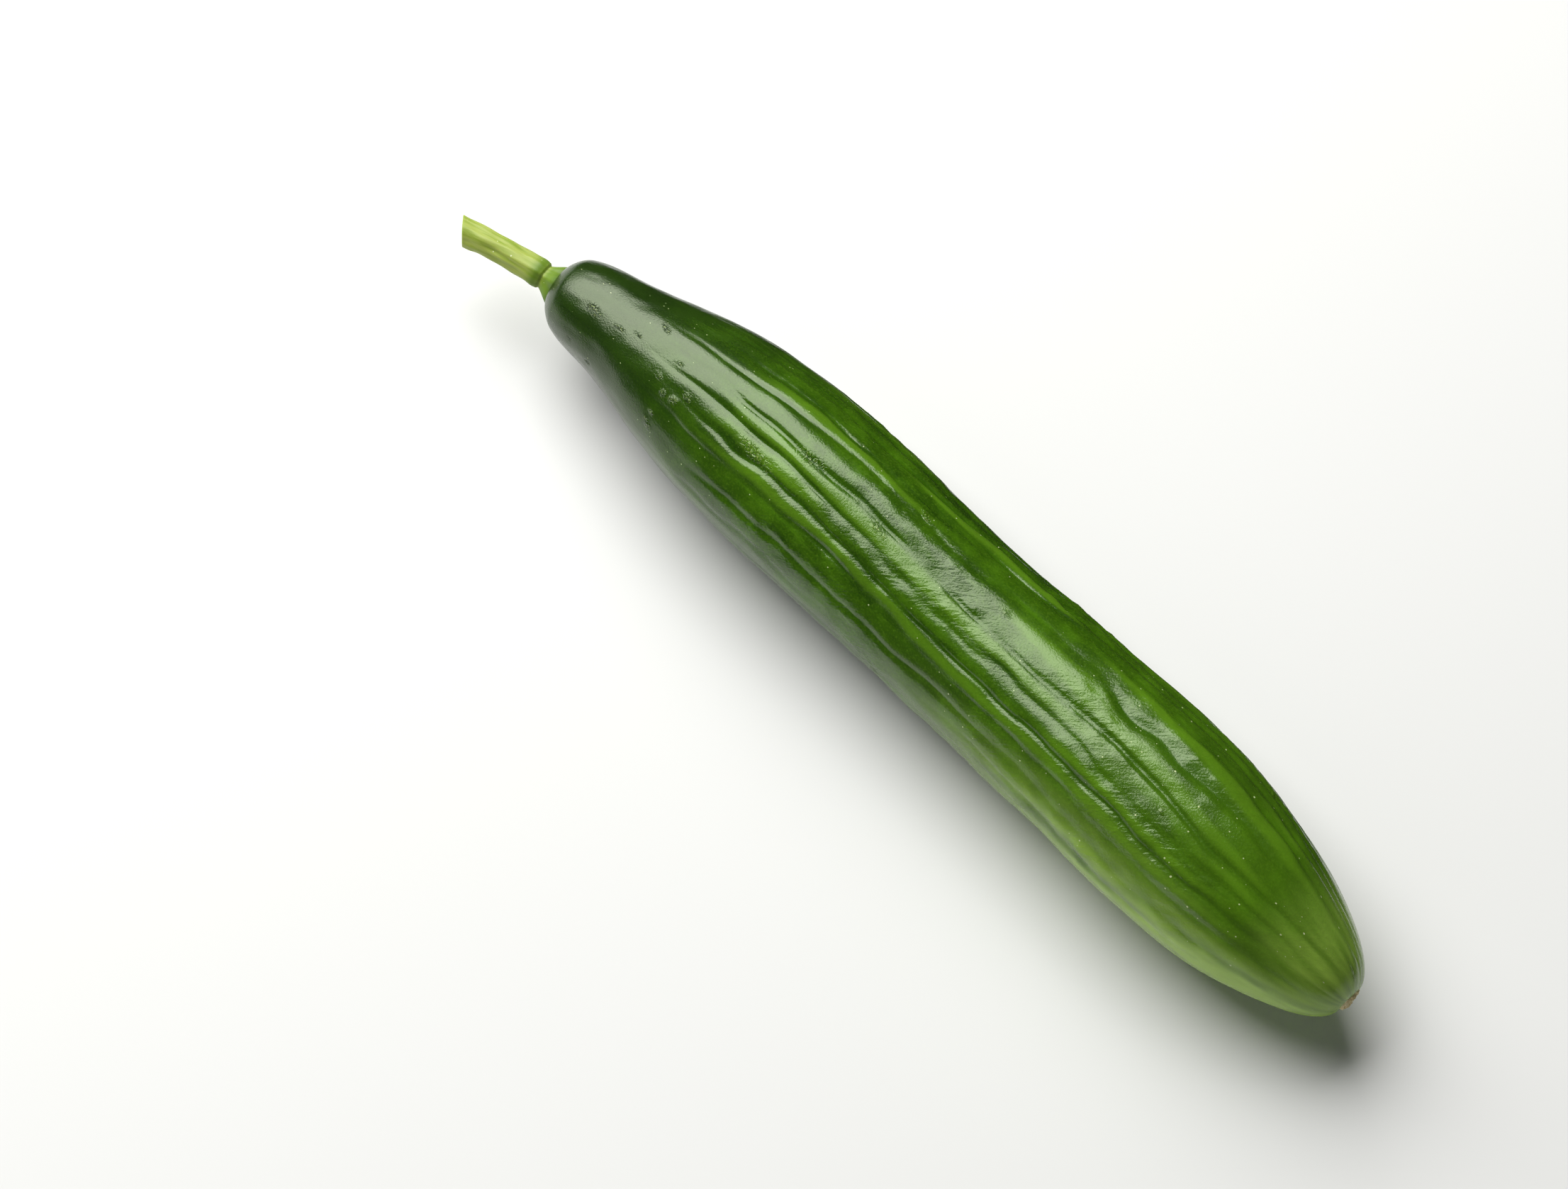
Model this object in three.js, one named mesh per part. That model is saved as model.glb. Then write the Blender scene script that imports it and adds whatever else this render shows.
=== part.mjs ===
// A whole smooth-skinned cucumber, as picked, lying on its side.
//
// Millimetres, +Z up, +X from the stalk towards the blossom end. The slight bow of the
// fruit lies flat, in the XY plane, so the fruit rests on a narrow strip of its underside.
// Three solids: the fruit, the cut stalk that grows into its neck, and the dry corky
// scar that the flower leaves at the other end.
import * as THREE from 'three';

const { clamp, degToRad, lerp, smoothstep } = THREE.MathUtils;

// ---- Fruit ---------------------------------------------------------------------------
const FRUIT_LENGTH = 219;
const FRUIT_RINGS = 40;

// Stations along the fruit. share is the part of the length from the stalk end, radius
// the girth there before the ends are rounded, side the bow of the centre line towards
// +Y, and height the height of the centre line. The middle sinks by about 0.4 mm into
// the surface it lies on, and what would be under that surface is pressed flat.
const FRUIT_STATIONS = [
  { share: 0.0, radius: 6.9, side: 0.2, height: 16.6 },
  { share: 0.03, radius: 9.5, side: 1.0, height: 16.9 },
  { share: 0.08, radius: 11.8, side: 1.6, height: 17.3 },
  { share: 0.15, radius: 15.1, side: 2.0, height: 17.8 },
  { share: 0.22, radius: 17.6, side: 2.5, height: 18.2 },
  { share: 0.32, radius: 18.9, side: 2.7, height: 18.5 },
  { share: 0.5, radius: 18.3, side: 1.2, height: 17.9 },
  { share: 0.72, radius: 19.1, side: 0.0, height: 18.7 },
  { share: 0.86, radius: 18.9, side: -2.0, height: 18.2 },
  { share: 0.95, radius: 18.0, side: -2.8, height: 16.9 },
  { share: 1.0, radius: 17.4, side: -2.9, height: 15.0 },
];

// Both ends close in a quarter ellipse that starts at a small flat seat. The stalk grows
// out of one seat, and the scar covers the other.
const NECK_SEAT_RADIUS = 4.2;
const NECK_ROUNDING = 3.6;
const BLOSSOM_SEAT_RADIUS = 2.3;
const BLOSSOM_ROUNDING = 54;

// Shallow ribs: broad crests with narrow creases between them. The neck is smooth, and
// the creases run out again before the blossom end.
const RIB_COUNT = 26;
const COLUMNS_PER_RIB = 3;
const CREASE_DEPTH = 0.45;
const CREASE_SHARPNESS = 1.5;
const CREASES_BEGIN = 0.1;
const CREASES_FULL = 0.35;
const CREASES_FADE = 0.85;
const LUMP_HEIGHT = 0.3;

// ---- Stalk ---------------------------------------------------------------------------
// Distance out from the fruit and radius there: a five-angled collar flares onto the
// fruit, a crease marks where the stalk would part from it, and a knuckle stands over
// the crease.
const STALK_STATIONS = [
  { out: 0, radius: 4.1 },
  { out: 1.2, radius: 3.6 },
  { out: 2.4, radius: 3.0 },
  { out: 3.3, radius: 2.6 },
  { out: 3.8, radius: 2.4 },
  { out: 4.1, radius: 2.85 },
  { out: 5.3, radius: 3.15 },
  { out: 7.4, radius: 2.95 },
  { out: 11.4, radius: 2.8 },
  { out: 16.4, radius: 2.8 },
  { out: 20.4, radius: 2.9 },
  { out: 23.7, radius: 3.0 },
];
const STALK_SIDES = 20;
const STALK_ANGLES = 5;
const STALK_ANGLE_DEPTH = 0.07;
const STALK_TURN_START = degToRad(7);
const STALK_TURN_END = degToRad(17);
const STALK_RISE = 1.6;
// The knife went through at a slant, so the cut faces further round than the stalk runs.
const STALK_CUT_TURN = degToRad(42);

// ---- Blossom scar --------------------------------------------------------------------
const SCAR_STATIONS = [
  { out: 0, radius: 2.2 },
  { out: 0.3, radius: 2.4 },
  { out: 0.55, radius: 1.9 },
  { out: 0.7, radius: 1.0 },
];
const SCAR_SIDES = 16;
const SCAR_RAGGEDNESS = 0.12;

// The clearance kept between two solids that touch.
const GROWN_GAP = 0.3;

const UP = new THREE.Vector3(0, 0, 1);

// A right-handed frame across a direction of travel: right is level, over points up.
function frameAlong(travel) {
  const forward = travel.clone().normalize();
  const right = new THREE.Vector3().crossVectors(UP, forward).normalize();
  const over = new THREE.Vector3().crossVectors(forward, right);
  return { forward, right, over };
}

// A closed ring of points round centre, with the radius given at each angle.
function ring(centre, frame, sides, radiusAt) {
  return Array.from({ length: sides }, (_, side) => {
    const angle = (2 * Math.PI * side) / sides;
    const radius = radiusAt(angle);
    return centre
      .clone()
      .addScaledVector(frame.right, radius * Math.cos(angle))
      .addScaledVector(frame.over, radius * Math.sin(angle));
  });
}

// A solid skinned over rings of equal count, closed by a fan at each end.
function loft(rings) {
  const sides = rings[0].length;
  const middle = (points) => {
    const sum = points.reduce((total, point) => total.add(point), new THREE.Vector3());
    return sum.divideScalar(points.length);
  };
  const first = rings[0];
  const last = rings[rings.length - 1];
  const points = [...rings.flat(), middle(first), middle(last)];
  const firstHub = points.length - 2;
  const lastHub = points.length - 1;
  const faces = [];
  for (let side = 0; side < sides; side += 1) {
    const next = (side + 1) % sides;
    for (let row = 0; row < rings.length - 1; row += 1) {
      const here = row * sides;
      const ahead = here + sides;
      faces.push(here + side, here + next, ahead + side);
      faces.push(here + next, ahead + next, ahead + side);
    }
    const end = (rings.length - 1) * sides;
    faces.push(firstHub, next, side);
    faces.push(lastHub, end + side, end + next);
  }
  const geometry = new THREE.BufferGeometry().setFromPoints(points);
  geometry.setIndex(faces);
  geometry.computeVertexNormals();
  return geometry;
}

// A smooth curve through points that are evenly spaced in its parameter.
function curveThrough(points) {
  return new THREE.CatmullRomCurve3(points, false, 'catmullrom', 0.5);
}

// Quarter ellipse from a flat seat (distance 0) out to the full radius.
function roundedEnd(distance, rounding, seatRadius, fullRadius) {
  const inward = 1 - clamp(distance / rounding, 0, 1);
  return seatRadius + (fullRadius - seatRadius) * Math.sqrt(1 - inward * inward);
}

// How far the skin stands off the plain girth at an angle round the fruit.
function skinRelief(angle, share) {
  const begun = smoothstep(share, CREASES_BEGIN, CREASES_FULL);
  const fade = begun * (1 - smoothstep(share, CREASES_FADE, 1));
  const crease = (1 - Math.abs(Math.sin((angle * RIB_COUNT) / 2))) ** CREASE_SHARPNESS;
  const lumps = Math.sin(2 * angle + 9 * share) + 0.7 * Math.sin(5 * angle - 16 * share);
  return fade * (LUMP_HEIGHT * lumps - CREASE_DEPTH * crease);
}

const spine = curveThrough(
  FRUIT_STATIONS.map(
    ({ share, side, height }) => new THREE.Vector3((share - 0.5) * FRUIT_LENGTH, side, height),
  ),
);
const girth = curveThrough(
  FRUIT_STATIONS.map(({ share, radius }) => new THREE.Vector3(share, radius, 0)),
);

function fruitGeometry() {
  const rings = Array.from({ length: FRUIT_RINGS + 1 }, (_, row) => {
    // Rows crowd towards both ends, where the outline turns fastest.
    const along = (1 - Math.cos((Math.PI * row) / FRUIT_RINGS)) / 2;
    const { x: share, y: fullRadius } = girth.getPoint(along);
    const fromNeck = share * FRUIT_LENGTH;
    const fromBlossom = (1 - share) * FRUIT_LENGTH;
    const radius =
      share < 0.5
        ? roundedEnd(fromNeck, NECK_ROUNDING, NECK_SEAT_RADIUS, fullRadius)
        : roundedEnd(fromBlossom, BLOSSOM_ROUNDING, BLOSSOM_SEAT_RADIUS, fullRadius);
    const points = ring(
      spine.getPoint(along),
      frameAlong(spine.getTangent(along)),
      RIB_COUNT * COLUMNS_PER_RIB,
      (angle) => radius + skinRelief(angle, share),
    );
    points.forEach((point) => point.setZ(Math.max(point.z, 0)));
    return points;
  });
  return loft(rings);
}

function stalkGeometry() {
  const reach = STALK_STATIONS[STALK_STATIONS.length - 1].out;
  const centre = spine.getPoint(0).addScaledVector(spine.getTangent(0), -GROWN_GAP);
  const rings = [];
  let covered = 0;
  STALK_STATIONS.forEach(({ out, radius }) => {
    // Each stretch carries on from the last, a little further round towards -Y.
    const share = out / reach;
    const turn = lerp(STALK_TURN_START, STALK_TURN_END, share);
    const climb = (STALK_RISE / reach) * (1 - share);
    const travel = new THREE.Vector3(-Math.cos(turn), -Math.sin(turn), climb);
    centre.addScaledVector(travel, out - covered);
    covered = out;
    // The five angles are strongest at the collar, and the stalk beyond is nearly round.
    const angular = STALK_ANGLE_DEPTH * (1 - 0.6 * share);
    const direction = out === 0 ? spine.getTangent(0).negate() : travel;
    const radiusAt = (angle) => radius * (1 + angular * Math.cos(STALK_ANGLES * angle));
    rings.push(ring(centre, frameAlong(direction), STALK_SIDES, radiusAt));
  });
  // Slide the last ring along the stalk until it lies in the slanted plane of the cut.
  const facing = new THREE.Vector3(-Math.cos(STALK_CUT_TURN), -Math.sin(STALK_CUT_TURN), 0);
  const run = new THREE.Vector3(-Math.cos(STALK_TURN_END), -Math.sin(STALK_TURN_END), 0);
  rings[rings.length - 1].forEach((point) => {
    const short = centre.clone().sub(point).dot(facing) / run.dot(facing);
    point.addScaledVector(run, short);
  });
  return loft(rings);
}

function scarGeometry() {
  const outward = spine.getTangent(1);
  const seat = spine.getPoint(1).addScaledVector(outward, GROWN_GAP);
  const rings = SCAR_STATIONS.map(({ out, radius }) =>
    ring(
      seat.clone().addScaledVector(outward, out),
      frameAlong(outward),
      SCAR_SIDES,
      (angle) => radius * (1 + SCAR_RAGGEDNESS * Math.sin(3 * angle) * Math.cos(5 * angle)),
    ),
  );
  return loft(rings);
}

function piece(name, geometry, color, roughness) {
  const material = new THREE.MeshStandardMaterial({ color, roughness, metalness: 0 });
  const mesh = new THREE.Mesh(geometry, material);
  mesh.name = name;
  return mesh;
}

const cucumber = new THREE.Group();
cucumber.add(
  piece('fruit', fruitGeometry(), '#36560d', 0.35),
  piece('stalk', stalkGeometry(), '#a5bb5c', 0.55),
  piece('blossom_scar', scarGeometry(), '#c8b48a', 0.9),
);

// The origin is under the middle of the whole cucumber, on the surface it lies on.
const bounds = new THREE.Box3().setFromObject(cucumber);
const middle = bounds.getCenter(new THREE.Vector3());
cucumber.position.set(-middle.x, -middle.y, -bounds.min.z);
cucumber.updateMatrixWorld(true);

export default cucumber;
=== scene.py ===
"""The looks of a whole cucumber, as picked, lying on a pale studio floor.

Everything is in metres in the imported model's frame: +X from the stalk to the blossom end,
+Z up, the floor at z = 0. The fruit, the stalk and the blossom scar are skinned afresh
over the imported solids' own stations, with finer relief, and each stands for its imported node.
"""

import logging
import math
from dataclasses import dataclass
from enum import Enum
from typing import Any

import bpy
import numpy as np
from mathutils import Matrix, Vector


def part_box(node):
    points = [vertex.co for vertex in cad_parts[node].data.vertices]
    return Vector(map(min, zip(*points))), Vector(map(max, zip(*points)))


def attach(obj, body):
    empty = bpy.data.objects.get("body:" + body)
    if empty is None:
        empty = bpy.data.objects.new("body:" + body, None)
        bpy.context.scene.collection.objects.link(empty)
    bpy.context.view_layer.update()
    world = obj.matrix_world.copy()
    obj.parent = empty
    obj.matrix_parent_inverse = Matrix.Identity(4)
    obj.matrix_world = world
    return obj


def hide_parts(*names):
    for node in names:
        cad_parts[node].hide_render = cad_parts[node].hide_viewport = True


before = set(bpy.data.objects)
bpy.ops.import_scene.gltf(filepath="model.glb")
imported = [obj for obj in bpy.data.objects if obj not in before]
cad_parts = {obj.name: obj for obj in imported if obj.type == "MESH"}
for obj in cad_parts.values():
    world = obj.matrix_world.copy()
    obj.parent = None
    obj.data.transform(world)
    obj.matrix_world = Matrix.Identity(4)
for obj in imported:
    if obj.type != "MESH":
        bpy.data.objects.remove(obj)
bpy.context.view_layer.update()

LOG = logging.getLogger("cucumber")
MM = 0.001
BODY = "root"
GOLDEN_ANGLE = math.pi * (3.0 - math.sqrt(5.0))
# Steps that never fall into a pattern when they are repeated and taken round a circle.
PACE_STEP = 0.61803
PHASE_STEP = 2.399


# ---------------------------------------------------------------------------------------
# Colour and node helpers
# ---------------------------------------------------------------------------------------
def linear(hex_colour: str) -> tuple[float, float, float, float]:
    """Turns an sRGB hex colour into linear red, green, blue and an alpha of one.

    Args:
        hex_colour: The colour as "#rrggbb".

    Returns:
        Four floats that a node socket takes.
    """
    parts = [int(hex_colour[i : i + 2], 16) / 255.0 for i in (1, 3, 5)]
    red, green, blue = (p / 12.92 if p <= 0.04045 else ((p + 0.055) / 1.055) ** 2.4 for p in parts)
    return red, green, blue, 1.0


def add_node(
    tree: bpy.types.NodeTree,
    kind: str,
    inputs: dict[str | int, Any] | None = None,
    **settings: Any,
) -> bpy.types.Node:
    """Adds one node with its settings, its constant inputs and its links.

    Args:
        tree: The node tree that takes the node.
        kind: The node's type name after "ShaderNode".
        inputs: Socket name or number to a constant, or to the output socket to link from.
        settings: Attributes of the node itself, such as operation or data_type.

    Returns:
        The new node.
    """
    node = tree.nodes.new("ShaderNode" + kind)
    for name, value in settings.items():
        setattr(node, name, value)
    for name, value in (inputs or {}).items():
        socket = node.inputs[name]
        if isinstance(value, bpy.types.NodeSocket):
            tree.links.new(value, socket)
        else:
            socket.default_value = value
    return node


def ramp(
    tree: bpy.types.NodeTree,
    factor: bpy.types.NodeSocket,
    stops: list[tuple[float, str]],
) -> bpy.types.NodeSocket:
    """Adds a colour ramp.

    Args:
        tree: The node tree.
        factor: The output that runs the ramp.
        stops: Position and sRGB hex colour of each stop, in order.

    Returns:
        The ramp's colour output.
    """
    node = add_node(tree, "ValToRGB", {"Fac": factor})
    elements = node.color_ramp.elements
    elements[0].position, elements[1].position = stops[0][0], stops[-1][0]
    elements[0].color, elements[1].color = linear(stops[0][1]), linear(stops[-1][1])
    for position, colour in stops[1:-1]:
        elements.new(position).color = linear(colour)
    return node.outputs["Color"]


def mapped(
    tree: bpy.types.NodeTree,
    value: bpy.types.NodeSocket,
    given: tuple[float, float],
    wanted: tuple[float, float],
) -> bpy.types.NodeSocket:
    """Stretches one range of a value onto another, and stops at its ends.

    Args:
        tree: The node tree.
        value: The output to stretch.
        given: Two values of it.
        wanted: What those two become.

    Returns:
        The stretched value.
    """
    if given[0] > given[1]:
        given, wanted = given[::-1], wanted[::-1]
    limits = {"From Min": given[0], "From Max": given[1], "To Min": wanted[0], "To Max": wanted[1]}
    return add_node(tree, "MapRange", {"Value": value, **limits}).outputs["Result"]


def blend_in(
    tree: bpy.types.NodeTree,
    amount: bpy.types.NodeSocket,
    under: bpy.types.NodeSocket,
    over: str,
) -> bpy.types.NodeSocket:
    """Mixes an sRGB hex colour over another colour.

    Args:
        tree: The node tree.
        amount: How much of the new colour shows, from 0 to 1.
        under: The colour that it goes over.
        over: The new colour.

    Returns:
        The mixed colour.
    """
    node = add_node(tree, "Mix", {"Factor": amount, 6: under, 7: linear(over)}, data_type="RGBA")
    return node.outputs[2]


def fresh_material(name: str) -> tuple[bpy.types.Material, bpy.types.NodeTree]:
    """Makes a material with an empty node tree.

    Args:
        name: The material's plain name.

    Returns:
        The material and its tree.
    """
    material = bpy.data.materials.new(name)
    material.use_nodes = True
    material.node_tree.nodes.clear()
    return material, material.node_tree


def finish_surface(tree: bpy.types.NodeTree, inputs: dict[str | int, Any]) -> None:
    """Ends a material in one principled surface with the inputs given."""
    shader = add_node(tree, "BsdfPrincipled", inputs)
    add_node(tree, "OutputMaterial", {"Surface": shader.outputs["BSDF"]})


def carried(tree: bpy.types.NodeTree, name: str, kind: str = "Fac") -> bpy.types.NodeSocket:
    """Reads what the surface carries at each point: a number, or a "Vector"."""
    return add_node(tree, "Attribute", attribute_name=name).outputs[kind]


def stretched(
    tree: bpy.types.NodeTree,
    place: bpy.types.NodeSocket,
    across_scale: float,
    along_scale: float,
) -> bpy.types.NodeSocket:
    """Scales places round and along the piece, so that a pattern on them is drawn out.

    Args:
        tree: The node tree.
        place: The places, with z along the piece.
        across_scale: Below 1 draws the pattern out round the piece.
        along_scale: Below 1 draws it out along the piece.

    Returns:
        The scaled places.
    """
    scale = (across_scale, across_scale, along_scale)
    return add_node(tree, "Mapping", {"Vector": place, "Scale": scale}).outputs["Vector"]


def noise(
    tree: bpy.types.NodeTree,
    place: bpy.types.NodeSocket,
    size_mm: float,
    detail: float,
    **more: float,
) -> bpy.types.NodeSocket:
    """Adds a soft random pattern.

    Args:
        tree: The node tree.
        place: The places it is read at, in metres.
        size_mm: The size of its largest features.
        detail: How many finer layers lie over those.
        more: Other constant inputs of the node, by their names.

    Returns:
        The pattern, from 0 to 1 with its middle at 0.5.
    """
    inputs = {"Vector": place, "Scale": 1.0 / (size_mm * MM), "Detail": detail, **more}
    return add_node(tree, "TexNoise", inputs).outputs["Fac"]


def times(
    tree: bpy.types.NodeTree, first: bpy.types.NodeSocket, second: bpy.types.NodeSocket
) -> bpy.types.NodeSocket:
    """Multiplies two values."""
    return add_node(tree, "Math", {0: first, 1: second}, operation="MULTIPLY").outputs[0]


def dots(
    tree: bpy.types.NodeTree,
    place: bpy.types.NodeSocket,
    spacing_mm: float,
    bare: float,
    largest: float,
    ripe: bpy.types.NodeSocket | None = None,
) -> bpy.types.NodeSocket:
    """Scatters round dots of many sizes, one in each chosen cell of a random lattice.

    Args:
        tree: The node tree.
        place: The places it is read at, in metres.
        spacing_mm: The usual distance between cells.
        bare: The share of cells that have no dot.
        largest: The largest dot's radius, as a part of the spacing.
        ripe: Scales every dot, if given.

    Returns:
        1 inside a dot and 0 outside.
    """
    cells = add_node(tree, "TexVoronoi", {"Vector": place, "Scale": 1.0 / (spacing_mm * MM)})
    chosen = add_node(tree, "SeparateColor", {"Color": cells.outputs["Color"]}).outputs["Red"]
    reach = mapped(tree, chosen, (bare, 1.0), (0.0, largest))
    if ripe is not None:
        reach = times(tree, reach, ripe)
    limits = {0: cells.outputs["Distance"], 1: reach}
    return add_node(tree, "Math", limits, operation="LESS_THAN").outputs[0]


def raised(
    tree: bpy.types.NodeTree,
    height: bpy.types.NodeSocket,
    depth_mm: float,
    over: bpy.types.NodeSocket | None = None,
    strength: float = 1.0,
) -> bpy.types.NodeSocket:
    """Bends the normal as a fine relief would.

    Args:
        tree: The node tree.
        height: The relief, from 0 to 1.
        depth_mm: How deep it is.
        over: The normal that it lies on, if not the surface's own.
        strength: The share of it that is used.

    Returns:
        The bent normal.
    """
    inputs = {"Height": height, "Strength": strength, "Distance": depth_mm * MM}
    if over is not None:
        inputs["Normal"] = over
    return add_node(tree, "Bump", inputs).outputs["Normal"]


# ---------------------------------------------------------------------------------------
# Surfaces
# ---------------------------------------------------------------------------------------
def spline_through(stations: np.ndarray, along: np.ndarray) -> np.ndarray:
    """Follows a smooth curve through stations that are evenly spaced in its parameter.

    Between two stations the curve is the cubic whose slope at each one is half the step
    from the station before it to the station after it. Beyond either end the last step
    is repeated.

    Args:
        stations: One row of values per station.
        along: Parameters from 0 at the first station to 1 at the last.

    Returns:
        One row of values per parameter.
    """
    count = len(stations)
    padded = np.vstack([2 * stations[0] - stations[1], stations, 2 * stations[-1] - stations[-2]])
    position = np.clip(along, 0.0, 1.0) * (count - 1)
    step = np.minimum(position.astype(int), count - 2)
    t = (position - step)[:, None]
    before, here, ahead, beyond = (padded[step + k] for k in range(4))
    slope_here, slope_ahead = 0.5 * (ahead - before), 0.5 * (beyond - here)
    cubic = 2 * here - 2 * ahead + slope_here + slope_ahead
    square = 3 * ahead - 3 * here - 2 * slope_here - slope_ahead
    return ((cubic * t + square) * t + slope_here) * t + here


def unit(vectors: np.ndarray) -> np.ndarray:
    """Scales each vector in the last axis to length one."""
    return vectors / np.linalg.norm(vectors, axis=-1, keepdims=True)


def across(travel: np.ndarray) -> tuple[np.ndarray, np.ndarray]:
    """Gives level and upright directions across directions of travel.

    Args:
        travel: Unit directions, one per row.

    Returns:
        The level direction, up crossed with travel, and the one that completes a
        right-handed frame with it.
    """
    level = unit(np.cross(np.array([0.0, 0.0, 1.0]), travel))
    return level, np.cross(travel, level)


def outward(travel: np.ndarray, angles: np.ndarray) -> np.ndarray:
    """Gives the directions out of a centre line, cosine along level and sine along upright.

    Args:
        travel: Unit directions of the centre line, one per ring.
        angles: Angles round it, as rings by steps.

    Returns:
        One unit direction per angle.
    """
    level, over = across(travel)
    return np.cos(angles)[..., None] * level[:, None] + np.sin(angles)[..., None] * over[:, None]


def smooth_between(value: np.ndarray, low: float, high: float) -> np.ndarray:
    """Rises smoothly from 0 at low to 1 at high, as 3t squared minus 2t cubed."""
    t = np.clip((value - low) / (high - low), 0.0, 1.0)
    return t * t * (3.0 - 2.0 * t)


def ripple(
    place: np.ndarray, wavelength: tuple[float, float, float], seed: int, waves: int = 14
) -> np.ndarray:
    """Sums plane waves into a smooth random-looking field with mean 0 and spread 1.

    Each wave runs in its own direction, spread evenly over a sphere by the golden angle,
    with its own phase, and has a wavelength between 0.75 and 1.35 of the one asked for.

    Args:
        place: Points, with x, y and z in the last axis.
        wavelength: The wavelength along x, y and z, in the units of place.
        seed: Picks one of many such fields.
        waves: How many waves are summed.

    Returns:
        The field at each point.
    """
    scaled = place / np.asarray(wavelength)
    total = np.zeros(place.shape[:-1])
    for k in range(waves):
        height = 1.0 - 2.0 * (k + 0.5) / waves
        turn = GOLDEN_ANGLE * k + 1.7 * seed
        flat = math.sqrt(1.0 - height * height)
        direction = np.array([flat * math.cos(turn), flat * math.sin(turn), height])
        pace = 0.75 + 0.6 * ((k * PACE_STEP + seed * 0.37) % 1.0)
        phase = PHASE_STEP * (k + 1) * (seed + 3)
        total += np.cos(2.0 * math.pi * (scaled @ direction) / pace + phase)
    return total * math.sqrt(2.0 / waves)


def closed_tube(name: str, grid: np.ndarray, values: dict[str, np.ndarray]) -> bpy.types.Object:
    """Makes a closed, smooth-shaded solid from rings of points.

    Neighbouring rings are joined by quads and each end ring by a fan to its own middle.

    Args:
        name: The piece's name.
        grid: Points as rings, steps round each ring, and x, y, z, in metres. A ring runs
            anticlockwise about the direction from the first ring to the last.
        values: Name to one number or one vector per grid point, kept as attributes.

    Returns:
        The new object, linked to the scene.
    """
    rings, sides, _ = grid.shape
    hubs = np.stack([grid[0].mean(axis=0), grid[-1].mean(axis=0)])
    points = np.concatenate([grid.reshape(-1, 3), hubs])
    row, side = np.meshgrid(np.arange(rings - 1), np.arange(sides), indexing="ij")
    here, after = row * sides + side, row * sides + (side + 1) % sides
    quads = np.stack([here, after, after + sides, here + sides], axis=-1).reshape(-1, 4)
    turn = np.arange(sides)
    ahead = (turn + 1) % sides
    last = (rings - 1) * sides
    first_fan = np.stack([np.full(sides, len(points) - 2), ahead, turn], axis=-1)
    last_fan = np.stack([np.full(sides, len(points) - 1), last + turn, last + ahead], axis=-1)
    mesh = bpy.data.meshes.new(name)
    mesh.from_pydata(points.tolist(), [], quads.tolist() + first_fan.tolist() + last_fan.tolist())
    mesh.polygons.foreach_set("use_smooth", np.ones(len(mesh.polygons), dtype=bool))
    for key, value in values.items():
        size = value.shape[2:]
        ends = np.stack([value[0].mean(axis=0), value[-1].mean(axis=0)])
        flat = np.concatenate([value.reshape((-1,) + size), ends])
        attribute = mesh.attributes.new(key, "FLOAT_VECTOR" if size else "FLOAT", "POINT")
        attribute.data.foreach_set("vector" if size else "value", flat.astype(np.float32).ravel())
    mesh.update()
    piece = bpy.data.objects.new(name, mesh)
    bpy.context.scene.collection.objects.link(piece)
    return piece


class Slot(Enum):
    """The record's material slots."""

    SKIN = "waxy_skin"
    STALK = "green_stalk"
    CORK = "dry_cork"


def stand_for(piece: bpy.types.Object, node: str, material: bpy.types.Material) -> None:
    """Dresses a piece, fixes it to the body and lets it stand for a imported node.

    Args:
        piece: The new piece.
        node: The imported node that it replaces.
        material: Its material.
    """
    piece.data.materials.append(material)
    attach(piece, BODY)
    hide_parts(node)


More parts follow.
